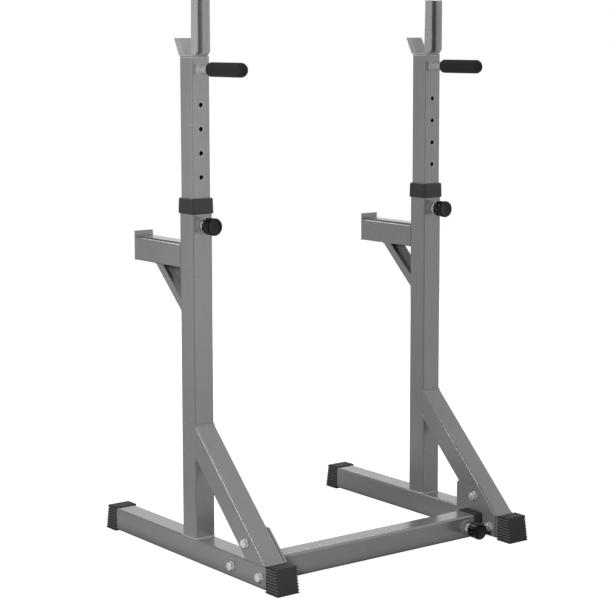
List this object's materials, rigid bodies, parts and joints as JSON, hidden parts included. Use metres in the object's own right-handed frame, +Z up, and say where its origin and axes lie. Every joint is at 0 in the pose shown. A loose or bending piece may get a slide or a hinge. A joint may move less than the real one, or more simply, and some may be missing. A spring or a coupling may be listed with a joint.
{
  "type": "squat stand",
  "caption": "Free-standing squat stand of square steel tube: height-adjustable bar catches with foam grips, spotter arms, braced feet and a telescoping cross bar.",
  "frame": {"origin": "on the floor, midway between the two uprights and midway along the feet", "axes": "+Z up; +X from the left stand to the right one; +Y the side of the spotter arms, -Y the side of the grips and braces"},
  "size_m": [0.7014, 0.664, 1.1926],
  "materials": {
    "frame_paint": "semi-gloss grey with fine metallic flake",
    "post_paint": "semi-gloss grey with fine metallic flake",
    "cap_rubber": "matt, ribbed",
    "collar_plastic": "fine moulded grain",
    "knob_plastic": "satin",
    "grip_foam": "closed-cell foam, matt",
    "zinc": "bright zinc plate",
    "spring_steel": "drawn wire"
  },
  "bodies": {
    "left_stand": {"left_foot_tube": "frame_paint", "left_foot_cap_front": "cap_rubber", "left_foot_cap_back": "cap_rubber", "left_upright_tube": "frame_paint", "left_diagonal_brace": "frame_paint", "left_spotter_arm": "frame_paint", "left_spotter_stop": "frame_paint", "left_arm_rail": "frame_paint", "left_arm_gusset": "frame_paint", "left_collar": "collar_plastic", "left_cross_plate": "frame_paint", "left_bolt_1": "zinc", "left_nut_1": "zinc", "left_bolt_2": "zinc", "left_nut_2": "zinc", "left_bolt_3": "zinc", "left_nut_3": "zinc", "left_height_pin_housing": "zinc", "left_height_pin_spring": "spring_steel", "cross_bar_outer": "frame_paint", "cross_bar_bush": "collar_plastic", "width_pin_housing": "zinc", "width_pin_spring": "spring_steel"},
    "right_stand": {"right_foot_tube": "frame_paint", "right_foot_cap_front": "cap_rubber", "right_foot_cap_back": "cap_rubber", "right_upright_tube": "frame_paint", "right_diagonal_brace": "frame_paint", "right_spotter_arm": "frame_paint", "right_spotter_stop": "frame_paint", "right_arm_rail": "frame_paint", "right_arm_gusset": "frame_paint", "right_collar": "collar_plastic", "right_cross_plate": "frame_paint", "right_bolt_1": "zinc", "right_nut_1": "zinc", "right_bolt_2": "zinc", "right_nut_2": "zinc", "right_bolt_3": "zinc", "right_nut_3": "zinc", "right_height_pin_housing": "zinc", "right_height_pin_spring": "spring_steel", "cross_bar_inner": "post_paint"},
    "left_post": {"left_post_tube": "post_paint", "left_post_top_plate": "post_paint", "left_bar_catch": "post_paint", "left_grip_peg": "post_paint", "left_foam_grip": "grip_foam"},
    "right_post": {"right_post_tube": "post_paint", "right_post_top_plate": "post_paint", "right_bar_catch": "post_paint", "right_grip_peg": "post_paint", "right_foam_grip": "grip_foam"},
    "left_height_pin": {"left_height_pin_rod": "zinc", "left_height_pin_knob": "knob_plastic"},
    "right_height_pin": {"right_height_pin_rod": "zinc", "right_height_pin_knob": "knob_plastic"},
    "width_pin": {"width_pin_rod": "zinc", "width_pin_knob": "knob_plastic"}
  },
  "joints": [
    {"name": "width_slide", "type": "slide", "parent": "left_stand", "child": "right_stand", "axis": [1, 0, 0], "range_m": [0, 0.3]},
    {"name": "left_height_slide", "type": "slide", "parent": "left_stand", "child": "left_post", "axis": [0, 0, 1], "range_m": [-0.25, 0.35]},
    {"name": "left_height_pin_pull", "type": "slide", "parent": "left_stand", "child": "left_height_pin", "axis": [0, -1, 0], "range_m": [0, 0.008], "stiffness_N_per_m": 1500, "deforming": ["left_height_pin_spring"]},
    {"name": "right_height_slide", "type": "slide", "parent": "right_stand", "child": "right_post", "axis": [0, 0, 1], "range_m": [-0.25, 0.35]},
    {"name": "right_height_pin_pull", "type": "slide", "parent": "right_stand", "child": "right_height_pin", "axis": [0, -1, 0], "range_m": [0, 0.008], "stiffness_N_per_m": 1500, "deforming": ["right_height_pin_spring"]},
    {"name": "width_pin_pull", "type": "slide", "parent": "left_stand", "child": "width_pin", "axis": [0, -1, 0], "range_m": [0, 0.008], "stiffness_N_per_m": 1500, "deforming": ["width_pin_spring"]}
  ]
}
